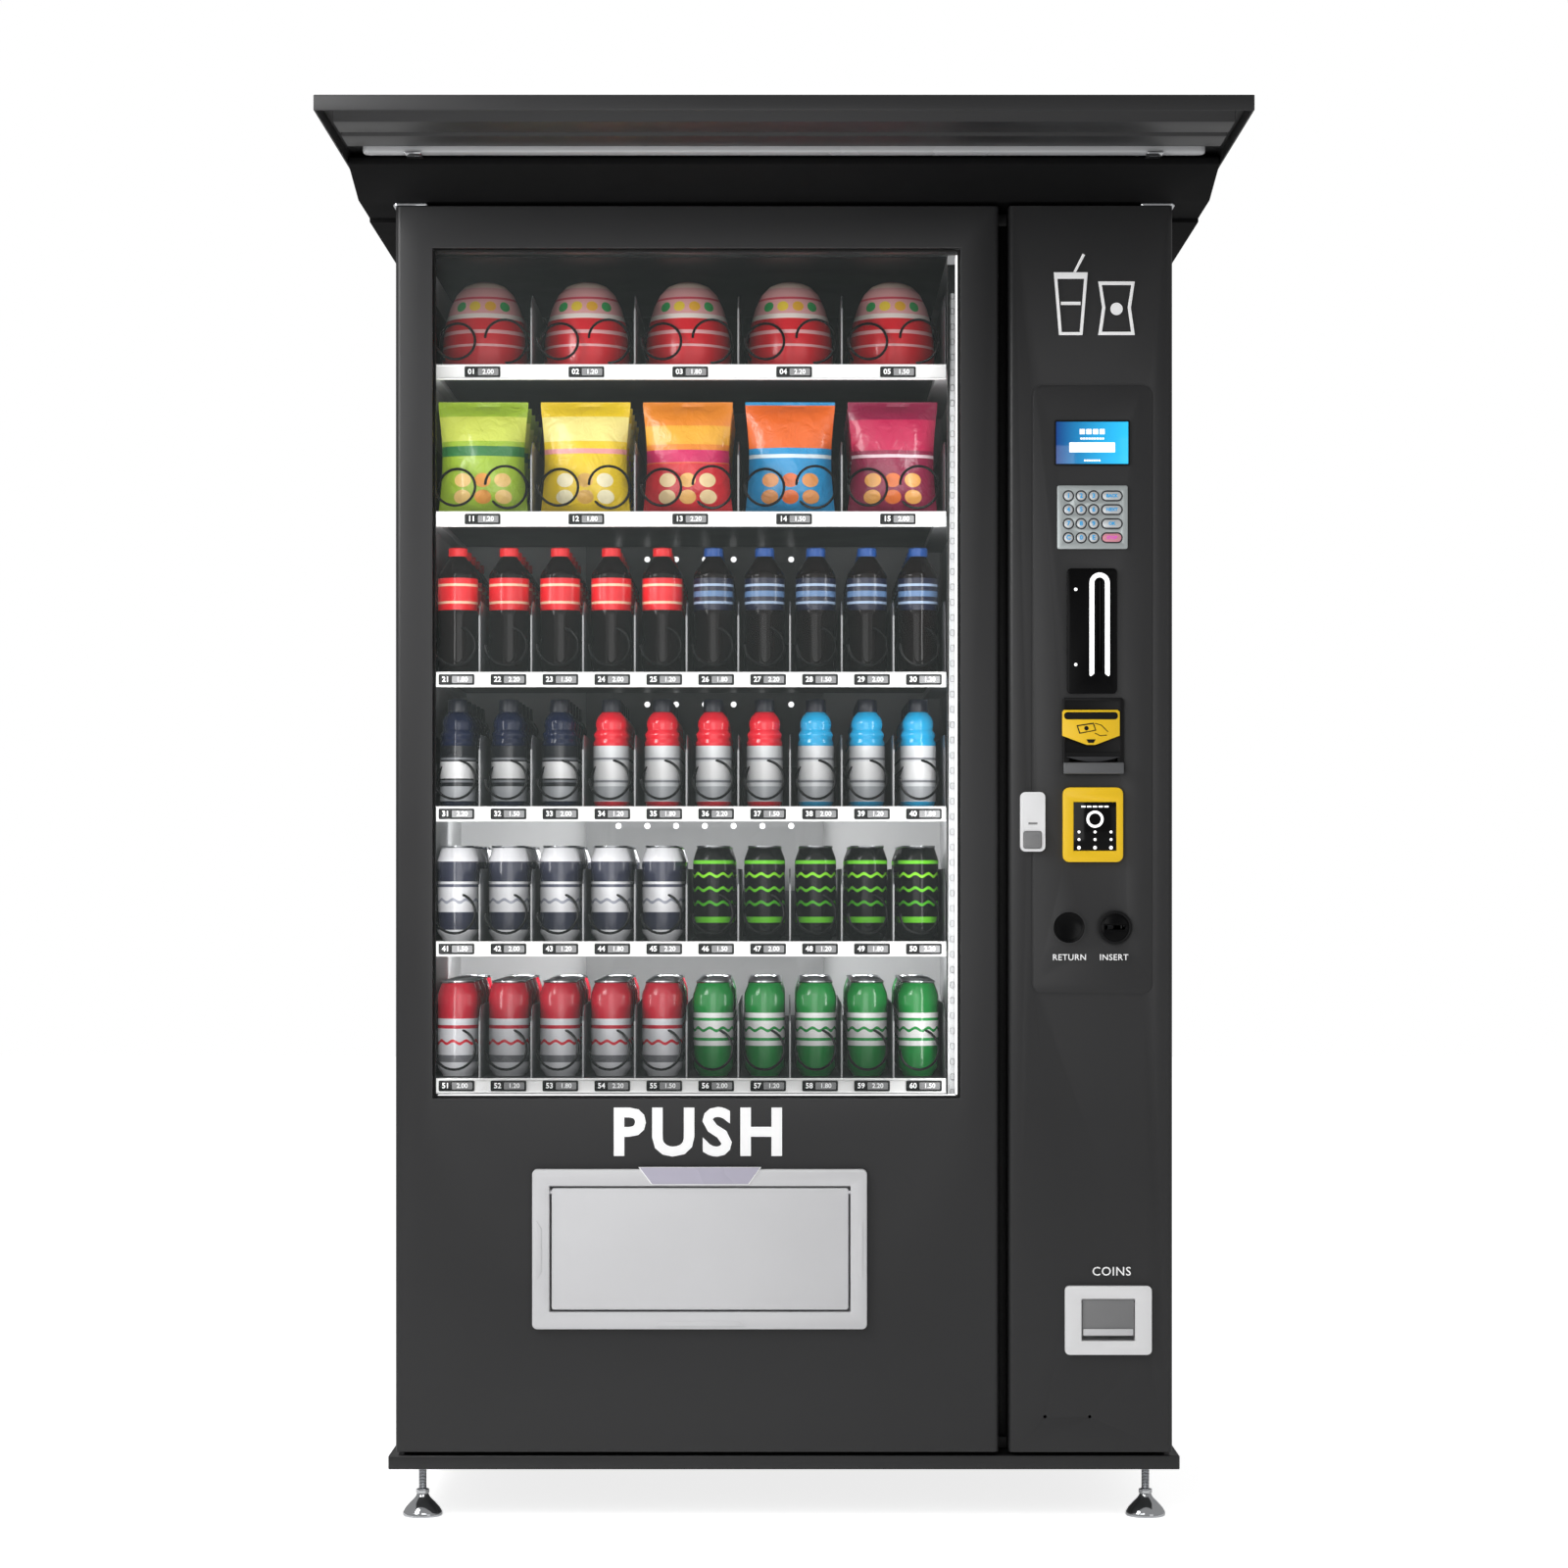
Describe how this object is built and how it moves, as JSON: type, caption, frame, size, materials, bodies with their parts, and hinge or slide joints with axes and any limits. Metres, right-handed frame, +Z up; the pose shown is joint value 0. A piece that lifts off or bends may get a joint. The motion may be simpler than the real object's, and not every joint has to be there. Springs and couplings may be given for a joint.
{
  "type": "snack vending machine",
  "caption": "Free-standing glass-front vending machine with coil trays, a hinged window door, a hinged payment door and a deep roof canopy.",
  "frame": {"origin": "middle of the footprint, on the floor under the feet", "axes": "+Z up, the doors face -Y, the payment door is on the +X side"},
  "size_m": [1.31, 1.36, 2.074],
  "materials": {
    "charcoal_paint": "satin charcoal powder coat",
    "black_plastic": "satin black",
    "lamp_diffuser": "opal",
    "white_liner": "satin white",
    "chrome": "polished",
    "zinc_steel": "zinc plated",
    "tray_enamel": "white enamel",
    "coil_wire": "black dipped wire",
    "grey_plastic": "satin grey",
    "light_plastic": "satin light grey",
    "satin_aluminium": "satin",
    "yellow_plastic": "satin yellow",
    "key_plastic": "moulded keys",
    "window_glass": "clear double glazing",
    "screen_glass": "lit display",
    "black_rubber": "matt"
  },
  "bodies": {
    "cabinet": {"cabinet_shell": "charcoal_paint", "base_plinth": "charcoal_paint", "canopy_roof": "charcoal_paint", "canopy_soffit": "black_plastic", "canopy_lamp": "lamp_diffuser", "inner_liner": "white_liner", "hinge_top_left": "chrome", "hinge_top_right": "chrome", "air_duct_panel": "grey_plastic", "refrigeration_unit": "grey_plastic", "delivery_bin": "grey_plastic", "coin_mechanism": "zinc_steel", "control_unit": "zinc_steel", "cash_box": "grey_plastic", "foot_front_left": "chrome", "foot_front_right": "chrome", "foot_rear_left": "chrome", "foot_rear_right": "chrome", "tray_1": "tray_enamel", "tray_2": "tray_enamel", "tray_3": "tray_enamel", "tray_4": "tray_enamel", "tray_5": "tray_enamel", "tray_6": "tray_enamel"},
    "window_door": {"window_door_frame": "charcoal_paint", "window_glass": "window_glass", "door_gasket": "black_rubber", "delivery_frame": "light_plastic"},
    "delivery_flap": {"delivery_flap": "light_plastic"},
    "control_door": {"control_door_panel": "charcoal_paint", "display_screen": "screen_glass", "keypad_base": "satin_aluminium", "card_reader": "black_plastic", "note_validator": "black_plastic", "contactless_reader": "yellow_plastic", "coin_slot_bezel": "black_plastic", "coin_cup": "light_plastic"},
    "coin_cup_flap": {"coin_cup_flap": "grey_plastic"},
    "lock_handle": {"lock_handle": "light_plastic"},
    "lock_button": {"lock_button": "grey_plastic"},
    "coin_return_button": {"coin_return_button": "black_plastic"},
    "coil_1_left": {"coil_1_left": "coil_wire"},
    "coil_1_right": {"coil_1_right": "coil_wire"},
    "coil_5": {"coil_5": "coil_wire"},
    "key_1": {"key_1": "key_plastic"},
    "key_2": {"key_2": "key_plastic"},
    "key_3": {"key_3": "key_plastic"},
    "key_wide_1": {"key_wide_1": "key_plastic"},
    "key_4": {"key_4": "key_plastic"},
    "key_5": {"key_5": "key_plastic"},
    "key_6": {"key_6": "key_plastic"},
    "key_wide_2": {"key_wide_2": "key_plastic"},
    "key_7": {"key_7": "key_plastic"},
    "key_8": {"key_8": "key_plastic"},
    "key_9": {"key_9": "key_plastic"},
    "key_wide_3": {"key_wide_3": "key_plastic"},
    "key_clear": {"key_clear": "key_plastic"},
    "key_0": {"key_0": "key_plastic"},
    "key_enter": {"key_enter": "key_plastic"},
    "key_wide_4": {"key_wide_4": "key_plastic"}
  },
  "joints": [
    {"name": "window_door_hinge", "type": "hinge", "parent": "cabinet", "child": "window_door", "pos_m": [-0.586, -0.168, 0.105], "axis": [0, 0, -1], "range_deg": [0, 110]},
    {"name": "delivery_flap_hinge", "type": "hinge", "parent": "window_door", "child": "delivery_flap", "pos_m": [-0.12845, -0.184, 0.503], "axis": [1, 0, 0], "range_deg": [0, 70]},
    {"name": "control_door_hinge", "type": "hinge", "parent": "cabinet", "child": "control_door", "pos_m": [0.586, -0.168, 0.105], "axis": [0, 0, 1], "range_deg": [0, 110]},
    {"name": "coin_cup_flap_hinge", "type": "hinge", "parent": "control_door", "child": "coin_cup_flap", "pos_m": [0.4955, -0.185, 0.336], "axis": [1, 0, 0], "range_deg": [0, 60]},
    {"name": "lock_handle_turn", "type": "hinge", "parent": "control_door", "child": "lock_handle", "pos_m": [0.38, -0.18, 1.097], "axis": [0, 1, 0], "range_deg": [0, 90]},
    {"name": "lock_button_press", "type": "slide", "parent": "lock_handle", "child": "lock_button", "axis": [0, 1, 0], "range_m": [0, 0.003], "stiffness_N_per_m": 400},
    {"name": "coin_return_press", "type": "slide", "parent": "control_door", "child": "coin_return_button", "axis": [0, 1, 0], "range_m": [0, 0.004], "stiffness_N_per_m": 400},
    {"name": "coil_1_left_spin", "type": "hinge", "parent": "cabinet", "child": "coil_1_left", "pos_m": [-0.19403, 0.4992, 1.8335], "axis": [0, 1, 0], "continuous": true},
    {"name": "coil_1_right_spin", "type": "hinge", "parent": "cabinet", "child": "coil_1_right", "pos_m": [-0.11248, 0.4992, 1.8335], "axis": [0, 1, 0], "continuous": true},
    {"name": "coil_5_spin", "type": "hinge", "parent": "cabinet", "child": "coil_5", "pos_m": [-0.19403, 0.4992, 0.9275], "axis": [0, 1, 0], "continuous": true},
    {"name": "key_1_press", "type": "slide", "parent": "control_door", "child": "key_1", "axis": [0, 1, 0], "range_m": [0, 0.0015], "stiffness_N_per_m": 400},
    {"name": "key_2_press", "type": "slide", "parent": "control_door", "child": "key_2", "axis": [0, 1, 0], "range_m": [0, 0.0015], "stiffness_N_per_m": 400},
    {"name": "key_3_press", "type": "slide", "parent": "control_door", "child": "key_3", "axis": [0, 1, 0], "range_m": [0, 0.0015], "stiffness_N_per_m": 400},
    {"name": "key_wide_1_press", "type": "slide", "parent": "control_door", "child": "key_wide_1", "axis": [0, 1, 0], "range_m": [0, 0.0015], "stiffness_N_per_m": 400},
    {"name": "key_4_press", "type": "slide", "parent": "control_door", "child": "key_4", "axis": [0, 1, 0], "range_m": [0, 0.0015], "stiffness_N_per_m": 400},
    {"name": "key_5_press", "type": "slide", "parent": "control_door", "child": "key_5", "axis": [0, 1, 0], "range_m": [0, 0.0015], "stiffness_N_per_m": 400},
    {"name": "key_6_press", "type": "slide", "parent": "control_door", "child": "key_6", "axis": [0, 1, 0], "range_m": [0, 0.0015], "stiffness_N_per_m": 400},
    {"name": "key_wide_2_press", "type": "slide", "parent": "control_door", "child": "key_wide_2", "axis": [0, 1, 0], "range_m": [0, 0.0015], "stiffness_N_per_m": 400},
    {"name": "key_7_press", "type": "slide", "parent": "control_door", "child": "key_7", "axis": [0, 1, 0], "range_m": [0, 0.0015], "stiffness_N_per_m": 400},
    {"name": "key_8_press", "type": "slide", "parent": "control_door", "child": "key_8", "axis": [0, 1, 0], "range_m": [0, 0.0015], "stiffness_N_per_m": 400},
    {"name": "key_9_press", "type": "slide", "parent": "control_door", "child": "key_9", "axis": [0, 1, 0], "range_m": [0, 0.0015], "stiffness_N_per_m": 400},
    {"name": "key_wide_3_press", "type": "slide", "parent": "control_door", "child": "key_wide_3", "axis": [0, 1, 0], "range_m": [0, 0.0015], "stiffness_N_per_m": 400},
    {"name": "key_clear_press", "type": "slide", "parent": "control_door", "child": "key_clear", "axis": [0, 1, 0], "range_m": [0, 0.0015], "stiffness_N_per_m": 400},
    {"name": "key_0_press", "type": "slide", "parent": "control_door", "child": "key_0", "axis": [0, 1, 0], "range_m": [0, 0.0015], "stiffness_N_per_m": 400},
    {"name": "key_enter_press", "type": "slide", "parent": "control_door", "child": "key_enter", "axis": [0, 1, 0], "range_m": [0, 0.0015], "stiffness_N_per_m": 400},
    {"name": "key_wide_4_press", "type": "slide", "parent": "control_door", "child": "key_wide_4", "axis": [0, 1, 0], "range_m": [0, 0.0015], "stiffness_N_per_m": 400}
  ],
  "couplings": [
    {"joint": "coil_1_right_spin", "follows": "coil_1_left_spin", "ratio": -1}
  ]
}
